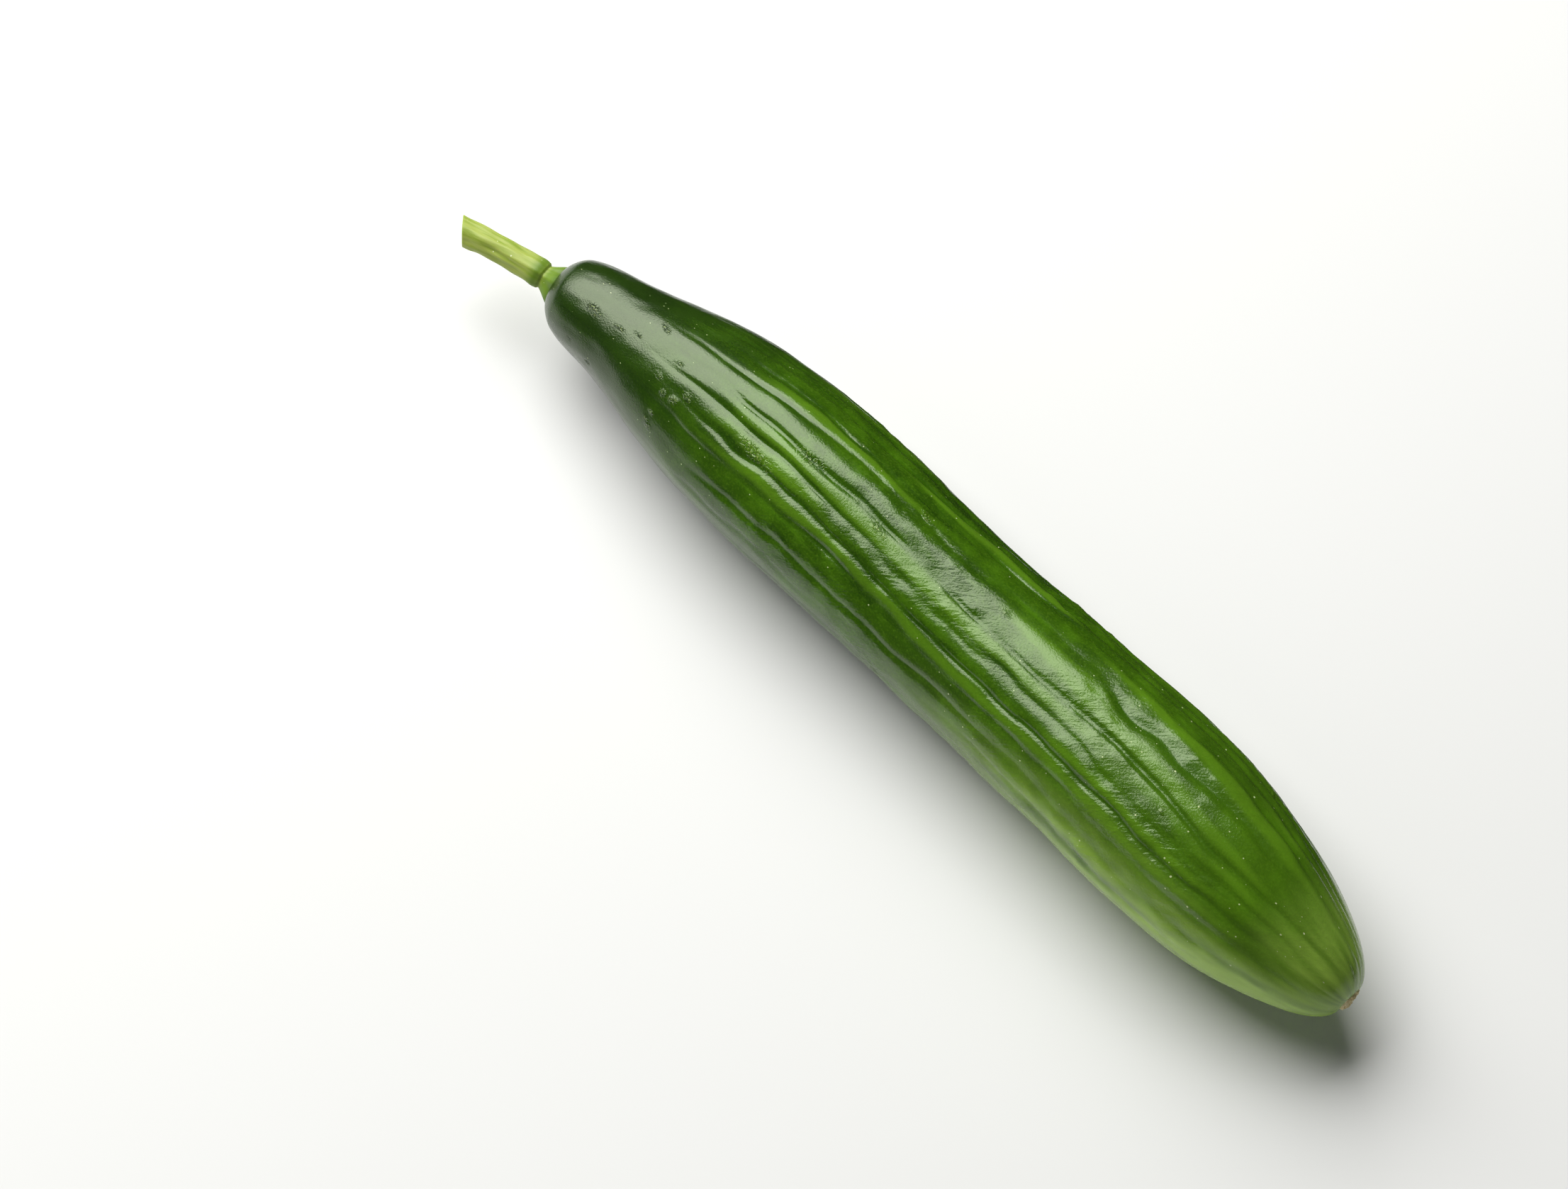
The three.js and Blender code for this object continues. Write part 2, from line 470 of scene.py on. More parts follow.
# ---------------------------------------------------------------------------------------
# Finishes
# ---------------------------------------------------------------------------------------
@dataclass(frozen=True)
class WaxySkin:
    """Living cucumber skin under a thin natural wax: dark, tight and satin-glossy.

    The wax gives a clear soft reflection, which fine pores grain and slanting wrinkles
    break up. The green is darkest at the neck, runs in long light and dark streaks over
    the middle, and turns paler and yellower on the underside and at the blossom tip. The
    underside's paleness is partly painted bounce light from the floor. The rib crests on
    the upper side carry a painted highlight, and the creases painted shade.
    """

    neck: str = "#17290a"
    dark: str = "#224005"
    mid: str = "#345706"
    bright: str = "#47720c"
    # A darker green painted into the creases as shade.
    crease: str = "#2b5305"
    # Yellower towards the blossom end, and also a painted highlight that lightens the upper rib crests.
    ripe_yellow_and_painted_highlight: str = "#5f8a1a"
    grainy: str = "#5a7f1f"
    # Pale yellow-green of the underside and tip: partly the real ground spot, partly painted bounce light
    # from the floor.
    tip: str = "#9cc04e"
    speck: str = "#c3cf9c"
    bruise: str = "#93a35c"
    roughness: float = 0.21
    grain: float = 0.05
    # A streak is about two thirds of a rib wide and eight times as long.
    streak_mm: float = 3.4
    streak_length: float = 8.0
    # Cloudy blotches are a little wider than a rib.
    blotch_mm: float = 7.0
    # The cells under the skin show as a mottle, about as fine as the skin's own pores.
    mottle_mm: float = 0.45
    pore_mm: float = 0.42
    pore_depth_mm: float = 0.05
    # Slack skin wrinkles every millimetre or so. A wrinkle is longer than it is wide.
    wrinkle_mm: float = 1.1
    wrinkle_narrowing: float = 0.6
    wrinkle_depth_mm: float = 0.16
    # Breathing pores stand 1 to 3 mm apart, and the largest is under half a millimetre.
    speck_spacing_mm: float = 1.6
    speck_bare: float = 0.3
    speck_largest: float = 0.14
    # Scuffed skin crazes into lines half a millimetre apart, over cracks twice as far apart.
    crazing_mm: float = 0.5
    crack_mm: float = 0.9
    crack_depth_mm: float = 0.2

    def material(self) -> bpy.types.Material:
        """Builds the material over what the fruit's surface carries.

        Returns:
            The material.
        """
        material, tree = fresh_material("waxy cucumber skin")
        place = carried(tree, "skin_place", "Vector")
        pores = noise(tree, place, self.pore_mm, 2.0)
        gloss = (self.roughness - self.grain, self.roughness + self.grain)
        inputs = {
            "Base Color": self._colour(tree, place),
            "Roughness": mapped(tree, pores, (0.3, 0.7), gloss),
            "IOR": 1.52,
            "Specular Tint": (0.87, 1.0, 0.7, 1.0),
            "Normal": self._bump(tree, place, pores),
            "Subsurface Weight": 0.12,
            "Subsurface Radius": (0.6, 1.0, 0.3),
            "Subsurface Scale": 2.5 * MM,
            "Coat Weight": 0.15,
            "Coat Roughness": 0.16,
            "Coat IOR": 1.45,
        }
        finish_surface(tree, inputs)
        return material

    def _colour(
        self, tree: bpy.types.NodeTree, place: bpy.types.NodeSocket
    ) -> bpy.types.NodeSocket:
        """Lays the skin's colours over each other, from the streaks up to the scuffs.

        Args:
            tree: The node tree.
            place: Position on the unrolled fruit.

        Returns:
            The colour output.
        """
        drawn = stretched(tree, place, 1.0, 1.0 / self.streak_length)
        streaks = noise(tree, drawn, self.streak_mm, 5.0, Roughness=0.6)
        blotches = noise(tree, place, self.blotch_mm, 3.0)
        mottle = noise(tree, place, self.mottle_mm, 3.0)
        share = carried(tree, "share")
        # How much of each colour shows over the ones before it.
        layers = (
            (mapped(tree, blotches, (0.46, 0.68), (0.0, 0.55)), self.dark),
            (mapped(tree, blotches, (0.5, 0.32), (0.0, 0.45)), self.bright),
            (mapped(tree, mottle, (0.52, 0.74), (0.0, 0.35)), self.grainy),
            (mapped(tree, mottle, (0.46, 0.3), (0.0, 0.4)), self.dark),
            # Painted shade: the creases are darkened.
            (mapped(tree, carried(tree, "crease"), (0.0, 1.0), (0.0, 0.5)), self.crease),
            (mapped(tree, share, (0.1, 0.3), (0.85, 0.0)), self.neck),
            (mapped(tree, share, (0.6, 0.95), (0.0, 0.3)), self.ripe_yellow_and_painted_highlight),
            # Painted highlight: the rib crests, most on the upper side, are lightened.
            (mapped(tree, carried(tree, "crest"), (0.5, 1.0), (0.0, 0.5)), self.ripe_yellow_and_painted_highlight),
            # Partly painted bounce light: the underside facing the floor is paler, along with the real
            # ground spot and the tip.
            (carried(tree, "pale_belly_and_bounce_light"), self.tip),
            (self._specks(tree, place, share), self.speck),
            (self._bruises(tree, place), self.bruise),
        )
        greens = [(0.33, self.dark), (0.48, self.mid), (0.6, self.mid), (0.72, self.bright)]
        shown = ramp(tree, streaks, greens)
        for amount, colour in layers:
            shown = blend_in(tree, amount, shown, colour)
        return shown

    def _specks(
        self,
        tree: bpy.types.NodeTree,
        place: bpy.types.NodeSocket,
        share: bpy.types.NodeSocket,
    ) -> bpy.types.NodeSocket:
        """Scatters pale breathing pores, which are larger towards the blossom end.

        Args:
            tree: The node tree.
            place: Position on the unrolled fruit.
            share: Part of the length from the neck.

        Returns:
            How much of the speck colour shows.
        """
        ripe = mapped(tree, share, (0.3, 0.9), (0.6, 1.0))
        inside = dots(
            tree, place, self.speck_spacing_mm, self.speck_bare, self.speck_largest, ripe
        )
        return mapped(tree, inside, (0.0, 1.0), (0.0, 0.8))

    def _bruises(
        self, tree: bpy.types.NodeTree, place: bpy.types.NodeSocket
    ) -> bpy.types.NodeSocket:
        """Breaks the marked places up into pale crazed lines.

        Args:
            tree: The node tree.
            place: Position on the unrolled fruit.

        Returns:
            How much of the bruise colour shows.
        """
        lines = mapped(tree, noise(tree, place, self.crazing_mm, 2.0), (0.55, 0.64), (0.0, 0.6))
        return times(tree, lines, carried(tree, "mark"))

    def _bump(
        self,
        tree: bpy.types.NodeTree,
        place: bpy.types.NodeSocket,
        pores: bpy.types.NodeSocket,
    ) -> bpy.types.NodeSocket:
        """Raises slanting wrinkles where the skin is slack, crazed marks, and fine pores.

        Args:
            tree: The node tree.
            place: Position on the unrolled fruit.
            pores: The fine pore pattern.

        Returns:
            The bent normal.
        """
        slanted = carried(tree, "slanted_place", "Vector")
        drawn = stretched(tree, slanted, self.wrinkle_narrowing, 1.0)
        folds = noise(tree, drawn, self.wrinkle_mm, 2.0, Distortion=0.6)
        slack = times(tree, folds, carried(tree, "wrinkled"))
        normal = raised(tree, slack, self.wrinkle_depth_mm)
        scale = {"Vector": place, "Scale": 1.0 / (self.crack_mm * MM)}
        cells = add_node(tree, "TexVoronoi", scale, feature="DISTANCE_TO_EDGE")
        cracks = mapped(tree, cells.outputs["Distance"], (0.0, 0.12), (0.0, 1.0))
        crazed = times(tree, cracks, carried(tree, "mark"))
        normal = raised(tree, crazed, self.crack_depth_mm, normal)
        return raised(tree, pores, self.pore_depth_mm, normal)


@dataclass(frozen=True)
class FleshyStalk:
    """Green fruit stalk: fibrous, juicy and a little translucent, with a fine bloom."""

    pale: str = "#a0ae52"
    green: str = "#82992a"
    deep: str = "#5c7d12"
    root: str = "#38560f"
    speck: str = "#d5dbb4"
    # The fibres under the skin are under a millimetre wide and eleven times as long.
    fibre_mm: float = 0.7
    fibre_shortening: float = 0.09
    fibre_depth_mm: float = 0.12
    # Grains of bloom stand about a millimetre apart, and the largest is 0.35 mm across.
    bloom_spacing_mm: float = 1.1
    bloom_bare: float = 0.5
    bloom_largest: float = 0.16

    def material(self) -> bpy.types.Material:
        """Builds the material over what the stalk's surface carries.

        Returns:
            The material.
        """
        material, tree = fresh_material("fleshy green stalk")
        place = carried(tree, "stalk_place", "Vector")
        joint = carried(tree, "joint")
        fibres = noise(tree, stretched(tree, place, 1.0, self.fibre_shortening), self.fibre_mm, 3.0)
        colour = ramp(tree, fibres, [(0.3, self.green), (0.55, self.pale), (0.75, self.pale)])
        colour = blend_in(tree, mapped(tree, joint, (0.0, 1.0), (0.0, 0.9)), colour, self.deep)
        colour = blend_in(tree, mapped(tree, joint, (1.0, 2.0), (0.0, 0.85)), colour, self.root)
        bloom = dots(tree, place, self.bloom_spacing_mm, self.bloom_bare, self.bloom_largest)
        inputs = {
            "Base Color": blend_in(tree, bloom, colour, self.speck),
            "Roughness": 0.48,
            "IOR": 1.42,
            "Normal": raised(tree, fibres, self.fibre_depth_mm, strength=0.5),
            "Subsurface Weight": 0.3,
            "Subsurface Radius": (0.8, 1.0, 0.3),
            "Subsurface Scale": 1.2 * MM,
        }
        finish_surface(tree, inputs)
        return material


@dataclass(frozen=True)
class DryCork:
    """Dead corky tissue where the flower dropped off: tan, crumbly and quite matt."""

    pale: str = "#f6ecc6"
    tan: str = "#dfcb94"
    dark: str = "#a08a4e"
    # The cork breaks into crumbs of about half a millimetre.
    crumb_mm: float = 0.5
    crumb_depth_mm: float = 0.25

    def material(self) -> bpy.types.Material:
        """Builds the material on Object coordinates.

        Returns:
            The material.
        """
        material, tree = fresh_material("dry corky scar")
        place = add_node(tree, "TexCoord").outputs["Object"]
        crumbs = noise(tree, place, self.crumb_mm, 4.0, Roughness=0.7)
        inputs = {
            "Base Color": ramp(tree, crumbs, [(0.3, self.dark), (0.45, self.tan), (0.65, self.pale)]),
            "Roughness": 0.9,
            "IOR": 1.4,
            "Normal": raised(tree, crumbs, self.crumb_depth_mm, strength=0.8),
        }
        finish_surface(tree, inputs)
        return material


@dataclass(frozen=True)
class StudioBoard:
    """Smooth white studio board, matt enough to show a soft shadow and no reflection."""

    colour: str = "#dfe0df"
    # The board's paper face has a grain of a few millimetres, hardly to be seen.
    grain_mm: float = 2.5
    grain_depth_mm: float = 0.02

    def material(self) -> bpy.types.Material:
        """Builds the plain material on Object coordinates.

        Returns:
            The material.
        """
        material, tree = fresh_material("white studio board")
        place = add_node(tree, "TexCoord").outputs["Object"]
        grain = noise(tree, place, self.grain_mm, 2.0)
        inputs = {
            "Base Color": linear(self.colour),
            "Roughness": 0.8,
            "IOR": 1.45,
            "Normal": raised(tree, grain, self.grain_depth_mm, strength=0.02),
        }
        finish_surface(tree, inputs)
        return material


# ---------------------------------------------------------------------------------------
# The fruit
# ---------------------------------------------------------------------------------------
@dataclass(frozen=True)
class Station:
    """One place along the fruit: share of its length, girth radius, and where its centre is.

    Sizes are in millimetres. side bows the centre line towards +Y, and height is its
    height over the floor.
    """

    share: float
    radius: float
    side: float
    height: float


# From the neck to the blossom end. The middle sinks a little into the floor, and what
# would be under the floor is pressed flat.
FRUIT_STATIONS = (
    Station(0.00, 6.9, 0.2, 16.6),
    Station(0.03, 9.5, 1.0, 16.9),
    Station(0.08, 11.8, 1.6, 17.3),
    Station(0.15, 15.1, 2.0, 17.8),
    Station(0.22, 17.6, 2.5, 18.2),
    Station(0.32, 18.9, 2.7, 18.5),
    Station(0.50, 18.3, 1.2, 17.9),
    Station(0.72, 19.1, 0.0, 18.7),
    Station(0.86, 18.9, -2.0, 18.2),
    Station(0.95, 18.0, -2.8, 16.9),
    Station(1.00, 17.4, -2.9, 15.0),
)


@dataclass
class Spine:
    """The centre line and girth of the fruit, in millimetres."""

    length: float = 219.0
    neck_seat: float = 4.2
    neck_rounding: float = 3.6
    blossom_seat: float = 2.3
    blossom_rounding: float = 54.0

    def girth(self, along: np.ndarray) -> tuple[np.ndarray, np.ndarray]:
        """Gives the share of the length and the radius at each parameter.

        The radius is the stations' spline, and both ends close in a quarter ellipse
        that starts at a small flat seat.

        Args:
            along: Parameters from 0 at the neck to 1 at the blossom end.

        Returns:
            Share and radius, one of each per parameter.
        """
        stations = np.array([(s.share, s.radius) for s in FRUIT_STATIONS])
        share, full = spline_through(stations, along).T
        neck = self._rounded(share * self.length, self.neck_rounding, self.neck_seat, full)
        blossom = self._rounded((1 - share) * self.length, self.blossom_rounding, self.blossom_seat, full)
        return share, np.where(share < 0.5, neck, blossom)

    def centres(self, along: np.ndarray) -> tuple[np.ndarray, np.ndarray]:
        """Gives the centre line's points and its unit directions of travel.

        Args:
            along: Parameters from 0 at the neck to 1 at the blossom end.

        Returns:
            Points and directions, one row of each per parameter.
        """
        stations = np.array([((s.share - 0.5) * self.length, s.side, s.height) for s in FRUIT_STATIONS])
        step = 1e-4
        travel = spline_through(stations, np.minimum(along + step, 1.0)) - spline_through(
            stations, np.maximum(along - step, 0.0)
        )
        return spline_through(stations, along), unit(travel)

    @staticmethod
    def _rounded(distance: np.ndarray, rounding: float, seat: float, full: np.ndarray) -> np.ndarray:
        """Closes an end in a quarter ellipse from the seat's radius to the full one."""
        inward = 1.0 - np.clip(distance / rounding, 0.0, 1.0)
        return seat + (full - seat) * np.sqrt(1.0 - inward * inward)


@dataclass(frozen=True)
class SkinMark:
    """A scuff or pit in the skin: where it is, its size in millimetres, and its turn.

    share runs along the fruit, and angle, in degrees, round it. turn swings the mark's
    length from the fruit's own direction. A depth below zero is raised.
    """

    share: float
    angle: float
    length: float
    width: float
    turn: float = 0.0
    depth: float = 0.25


# The scuffs crowd on the neck and the shoulder, and there are a few on every side.
SKIN_MARKS = (
    SkinMark(0.050, 158, 1.8, 1.0, 30),
    SkinMark(0.060, 111, 4.6, 3.4, 20, 0.16),
    SkinMark(0.080, 164, 2.0, 1.0, -25),
    SkinMark(0.095, 110, 3.4, 1.1, -14),
    SkinMark(0.114, 104, 2.6, 1.0, 8),
    SkinMark(0.132, 86, 3.8, 1.5, 35, 0.18),
    SkinMark(0.158, 119, 2.0, 1.5, 0, -0.12),
    SkinMark(0.167, 103, 2.6, 1.0, -10),
    SkinMark(0.170, 145, 1.4, 1.1, 0, -0.1),
    SkinMark(0.171, 155, 3.4, 1.5, 40, -0.12),
    SkinMark(0.172, 127, 2.0, 1.4, 15, -0.12),
    SkinMark(0.184, 126, 2.4, 1.5, -20, -0.12),
    SkinMark(0.195, 118, 2.6, 1.6, 10, -0.12),
    SkinMark(0.285, 118, 9.0, 2.6, 8, 0.14),
    SkinMark(0.325, 98, 6.5, 2.2, -6, 0.16),
    SkinMark(0.385, 97, 1.3, 1.3, 0, 0.3),
    SkinMark(0.415, 100, 4.5, 1.6, 12, 0.12),
    SkinMark(0.434, 72, 3.2, 1.4, 20, 0.1),
    SkinMark(0.560, 84, 2.0, 1.2, 0, 0.15),
    SkinMark(0.640, 250, 6.0, 3.0, 10, 0.12),
    SkinMark(0.330, 300, 8.0, 2.4, -8, 0.14),
    SkinMark(0.500, 340, 3.0, 1.5, 15, 0.12),
    SkinMark(0.785, 108, 2.4, 1.0, 60, 0.2),
    SkinMark(0.830, 30, 2.4, 1.4, 0, 0.12),
    SkinMark(0.985, 75, 3.4, 1.0, 10, -0.1),
)


@dataclass(frozen=True)
class Swelling:
    """A broad swelling of the fruit, or a hollow where its height is below zero.

    share runs along the fruit, and angle, in degrees, round it. Sizes are in millimetres.
    """

    share: float
    angle: float
    length: float
    width: float
    height: float


# They pinch the neck a little on both sides before it opens out into the shoulder.
SWELLINGS = (
    Swelling(0.080, 19, 22, 24, -0.4),
    Swelling(0.100, 199, 30, 28, -0.9),
    Swelling(0.157, 19, 26, 26, 0.45),
    Swelling(0.300, 19, 40, 26, -0.55),
)


def turned_from(angle: np.ndarray, middle: float) -> np.ndarray:
    """Gives the turn from a middle angle in degrees, the short way round, in radians."""
    return np.angle(np.exp(1j * (angle - math.radians(middle))))


@dataclass
class SkinRelief:
    """How the skin stands off the plain girth. Sizes are in millimetres, angles in degrees."""

    ribs: int = 23
    swell: float = 0.4
    crease_depth: float = 0.3
    crease_width: float = 0.6
    lobe_height: float = 0.22
    dent_height: float = 0.075
    crumple_height: float = 0.05
    fold_height: float = 0.085
    mark_strength: float = 0.6
    skew: float = 1.0
    round_radius: float = 19.0
    # Where round the fruit things are. 90 is the top and 270 the bottom.
    shear_seam: float = -75.0
    creased_side: float = 75.0
    ribbed_side: float = 85.0
    ribbed_edge: float = 33.0
    edge_spread: float = 13.0
    # The pale side, low and to the front: the real ground spot together with painted bounce light from the
    # floor.
    pale_belly_and_bounce_side: float = 235.0

    def place(self, angle: np.ndarray, share: np.ndarray, length: float) -> np.ndarray:
        """Puts each point on a plain cylinder, so that patterns close round the fruit.

        Args:
            angle: Angle round the fruit.
            share: Part of the length from the neck.
            length: The fruit's length.

        Returns:
            x and y round the cylinder and z along it, in the last axis.
        """
        return np.stack(
            [self.round_radius * np.cos(angle), self.round_radius * np.sin(angle), share * length], axis=-1
        )

    def slanted(self, place: np.ndarray, angle: np.ndarray) -> np.ndarray:
        """Shears the unrolled skin, so that a pattern drawn crosswise on it runs slantwise.

        The shear starts at a seam near the bottom of the fruit, where the skin is tight
        and shows no such pattern.

        Args:
            place: Position on the plain cylinder.
            angle: Angle round the fruit.

        Returns:
            The sheared positions.
        """
        turned = np.mod(angle - math.radians(self.shear_seam), 2.0 * math.pi)
        return place + (self.skew * self.round_radius * turned)[..., None] * np.array([0.0, 0.0, 1.0])

    def ribbing(
        self, place: np.ndarray, angle: np.ndarray, share: np.ndarray
    ) -> tuple[np.ndarray, np.ndarray, np.ndarray]:
        """Gives the rounded rib crests, and the narrow creases between them.

        A crest is the size of a sine round the fruit, whose phase wanders, so that ribs
        differ in width and bend. A crease is a bell curve of the distance from the line
        where that sine is zero. Both come and go along their lines. They are strongest
        on the upper side, and there are more creases along one upper edge.

        Args:
            place: Position on the plain cylinder.
            angle: Angle round the fruit.
            share: Part of the length from the neck.

        Returns:
            The crest, from 0 between ribs to 1 on them, how strongly the fruit is ribbed
            there, and the crease, 1 where it is deep. The last two fade out at the neck
            and towards the blossom end.
        """
        wander = (
            1.5 * ripple(place, (24, 24, 150), 3)
            + 0.55 * ripple(place, (10, 10, 45), 5)
            + 0.3 * ripple(place, (6, 6, 12), 9)
        )
        crest = np.abs(np.sin(0.5 * (self.ribs * angle + wander)))
        off = np.arcsin(crest) * 2.0 / self.ribs * self.round_radius
        chosen = smooth_between(ripple(place, (7, 7, 80), 7), -0.5, 0.7)
        creased = np.cos(angle - math.radians(self.creased_side))
        side = 0.35 + 0.65 * smooth_between(creased, -0.1, 0.75)
        from_edge = turned_from(angle, self.ribbed_edge) / math.radians(self.edge_spread)
        strength = (0.12 + 1.1 * chosen) * side + 0.5 * np.exp(-(from_edge**2))
        late = smooth_between(share, 0.74, 0.95)
        fade = smooth_between(share, 0.1, 0.28) * (1.0 - 0.8 * late)
        crease = np.exp(-((off / self.crease_width) ** 2)) * strength * fade
        ends = smooth_between(share, 0.12, 0.32) * (1.0 - smooth_between(share, 0.85, 1.0))
        ribbed = np.cos(angle - math.radians(self.ribbed_side))
        upper = 0.35 + 0.65 * smooth_between(ribbed, 0.2, 0.8)
        return crest, ends * upper * (0.55 + 0.6 * chosen), crease

    def wrinkles(self, place: np.ndarray, share: np.ndarray) -> np.ndarray:
        """Gives how wrinkled the skin is, in patches over the middle of the fruit.

        The underside is tight, and so are the neck and, mostly, the blossom end.

        Args:
            place: Position on the plain cylinder.
            share: Part of the length from the neck.

        Returns:
            0 where the skin is tight, up to 1 where it is wrinkled.
        """
        patches = np.clip(0.6 + 0.4 * ripple(place, (14, 14, 36), 11), 0.1, 1.0)
        off_floor = smooth_between(place[..., 1] / self.round_radius, -0.95, -0.6)
        late = smooth_between(share, 0.72, 0.93)
        return patches * off_floor * smooth_between(share, 0.17, 0.38) * (1.0 - 0.8 * late)

    def pale_belly_and_bounce_light(self, place: np.ndarray, angle: np.ndarray, share: np.ndarray) -> np.ndarray:
        """Gives how pale the skin is, on the side that lay on the ground and at the tip.

        Long streaks and short mottles break the pale part up. The paleness of the lower
        side, which faces the floor, is partly the real ground spot and partly painted bounce
        light from the floor.

        Args:
            place: Position on the plain cylinder.
            angle: Angle round the fruit.
            share: Part of the length from the neck.

        Returns:
            0 on the dark skin, up to 1 on the palest.
        """
        # Partly painted bounce light: paler on the lower side that faces the floor.
        facing = np.cos(angle - math.radians(self.pale_belly_and_bounce_side))
        under = smooth_between(facing, -0.1 - 0.3 * share, 0.68) * smooth_between(share, 0.42, 0.93)
        pale = np.maximum(under, 0.6 * smooth_between(share, 0.89, 0.99))
        streaks = 0.22 * ripple(place, (4.5, 4.5, 50), 43)
        mottles = 0.1 * ripple(place, (2.2, 2.2, 7), 47)
        return np.clip(pale * (0.95 + streaks + mottles), 0.0, 1.0)

    def marks(
        self, place: np.ndarray, angle: np.ndarray, share: np.ndarray, length: float
    ) -> tuple[np.ndarray, np.ndarray]:
        """Lays the scuffs and pits, each a steep-sided bell over a small oval, made ragged.

        Args:
            place: Position on the plain cylinder.
            angle: Angle round the fruit.
            share: Part of the length from the neck.
            length: The fruit's length.

        Returns:
            How marked each point is, and how deep the marks are there.
        """
        marked, depth = np.zeros(angle.shape), np.zeros(angle.shape)
        ragged = 0.35 + 0.65 * smooth_between(ripple(place, (2.0, 2.0, 2.0), 41), -0.5, 0.6)
        for mark in SKIN_MARKS:
            around = self.round_radius * turned_from(angle, mark.angle)
            along = (share - mark.share) * length
            cos_t, sin_t = math.cos(math.radians(mark.turn)), math.sin(math.radians(mark.turn))
            run, rise = along * cos_t + around * sin_t, around * cos_t - along * sin_t
            oval = (2.0 * run / mark.length) ** 2 + (2.0 * rise / mark.width) ** 2
            shown = np.exp(-(oval**2)) * ragged
            marked = np.maximum(marked, shown)
            depth += self.mark_strength * mark.depth * shown
        return marked, depth

    def swellings(self, angle: np.ndarray, share: np.ndarray, length: float) -> np.ndarray:
        """Adds up the broad swellings and hollows, each a bell over a large oval.

        Args:
            angle: Angle round the fruit.
            share: Part of the length from the neck.
            length: The fruit's length.

        Returns:
            Their height over the plain girth.
        """
        height = np.zeros(angle.shape)
        for swelling in SWELLINGS:
            around = self.round_radius * turned_from(angle, swelling.angle)
            along = (share - swelling.share) * length
            oval = (2.0 * along / swelling.length) ** 2 + (2.0 * around / swelling.width) ** 2
            height += swelling.height * np.exp(-oval)
        return height

    def texture(
        self, place: np.ndarray, slanted: np.ndarray, share: np.ndarray, wrinkled: np.ndarray
    ) -> np.ndarray:
        """Adds up lobes, dents, crumples and slanting folds, each a ripple of its own size.

        Args:
            place: Position on the plain cylinder.
            slanted: The same position, sheared.
            share: Part of the length from the neck.
            wrinkled: The wrinkle value.

        Returns:
            Their height over the plain girth.
        """
        body = smooth_between(share, 0.02, 0.15) * (1.0 - 0.6 * smooth_between(share, 0.88, 1.0))
        lobes = self.lobe_height * ripple(place, (17, 17, 120), 1) * body
        late = smooth_between(share, 0.45, 0.7)
        dents = self.dent_height * ripple(place, (9, 9, 20), 13) * body * (1.0 + 0.3 * late)
        neck = 1.0 - smooth_between(share, 0.12, 0.3)
        slack = (0.2 + 0.8 * wrinkled + 0.2 * neck) * smooth_between(share, 0.005, 0.05)
        crumples = self.crumple_height * ripple(place, (4.5, 4.5, 6), 15) * slack
        slanting = np.abs(ripple(slanted, (5.0, 5.0, 2.3), 17))
        level = 0.5 * np.abs(ripple(place, (4.0, 4.0, 2.6), 19))
        return lobes + dents + crumples + self.fold_height * wrinkled * (slanting + level)


@dataclass
class Fruit:
    """The fruit: one closed skin over the spine, with its ribs, creases and wrinkles."""

    spine: Spine
    relief: SkinRelief
    rings: int = 400
    columns: int = 244
    # How far the rings crowd towards the ends: 0 is even, and 1 is as a half circle's are.
    crowding: float = 0.45
    # The mean crest and the mean crease, so that neither makes the fruit thicker.
    mean_crest: float = 0.64
    mean_crease: float = 0.2

    def surface(self) -> tuple[np.ndarray, dict[str, np.ndarray]]:
        """Carries the relief round the spine.

        A point is the centre line's point, plus the radius and relief outward at its
        angle. What would be under the floor is pressed flat on it.

        Returns:
            The grid of points in millimetres, and what the skin's material reads.
        """
        relief, length = self.relief, self.spine.length
        even = np.linspace(0.0, 1.0, self.rings)
        crowded = 0.5 * (1.0 - np.cos(math.pi * even))
        along = (1.0 - self.crowding) * even + self.crowding * crowded
        share, radius = self.spine.girth(along)
        centre, travel = self.spine.centres(along)
        angle = np.linspace(0.0, 2.0 * math.pi, self.columns, endpoint=False)
        angles, shares = np.meshgrid(angle, share)
        place = relief.place(angles, shares, length)
        slanted = relief.slanted(place, angles)
        crest, ribbed, crease = relief.ribbing(place, angles, shares)
        wrinkled = relief.wrinkles(place, shares)
        marked, pitted = relief.marks(place, angles, shares, length)
        ribs = relief.swell * (crest - self.mean_crest) * ribbed
        creases = relief.crease_depth * (crease - self.mean_crease)
        fine = relief.texture(place, slanted, shares, wrinkled)
        broad = relief.swellings(angles, shares, length)
        stand = radius[:, None] + ribs - creases + fine + broad - pitted
        grid = centre[:, None] + stand[..., None] * outward(travel, angles)
        grid[..., 2] = np.maximum(grid[..., 2], 0.0)
        values = {
            "skin_place": place * MM,
            "slanted_place": slanted * MM,
            "share": shares,
            # Painted highlight: the material lightens the rib crests, most on the upper side.
            "crest": crest * ribbed,
            # Painted shade: the material darkens the creases by this.
            "crease": crease,
            "wrinkled": wrinkled,
            # Partly painted bounce light: the pale underside facing the floor, with the real ground spot
            # and the pale tip.
            "pale_belly_and_bounce_light": relief.pale_belly_and_bounce_light(place, angles, shares),
            "mark": marked,
        }
        return grid, values

    def build(self, shift: np.ndarray, skin: WaxySkin) -> bpy.types.Object:
        """Makes the piece and dresses it.

        Args:
            shift: From the spine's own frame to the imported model's, in millimetres.
            skin: Its finish.

        Returns:
            The new object.
        """
        grid, values = self.surface()
        piece = closed_tube("fruit_skin", (grid + shift) * MM, values)
        stand_for(piece, "fruit", skin.material())
        return piece


# ---------------------------------------------------------------------------------------
# The stalk
# ---------------------------------------------------------------------------------------
# Distance out from the fruit and radius there. The collar laps a little over the fruit's
# end, narrows to a crease where the stalk would part, and a knuckle stands over that.
STALK_STATIONS = (
    (-1.8, 5.6),
    (-0.9, 4.9),
    (0.0, 4.2),
    (1.2, 3.65),
    (2.4, 3.05),
    (3.3, 2.6),
    (3.8, 2.4),
    (4.1, 2.85),
    (5.3, 3.15),
    (7.4, 2.95),
    (11.4, 2.8),
    (16.4, 2.8),
    (20.4, 2.9),
    (23.7, 3.0),
)


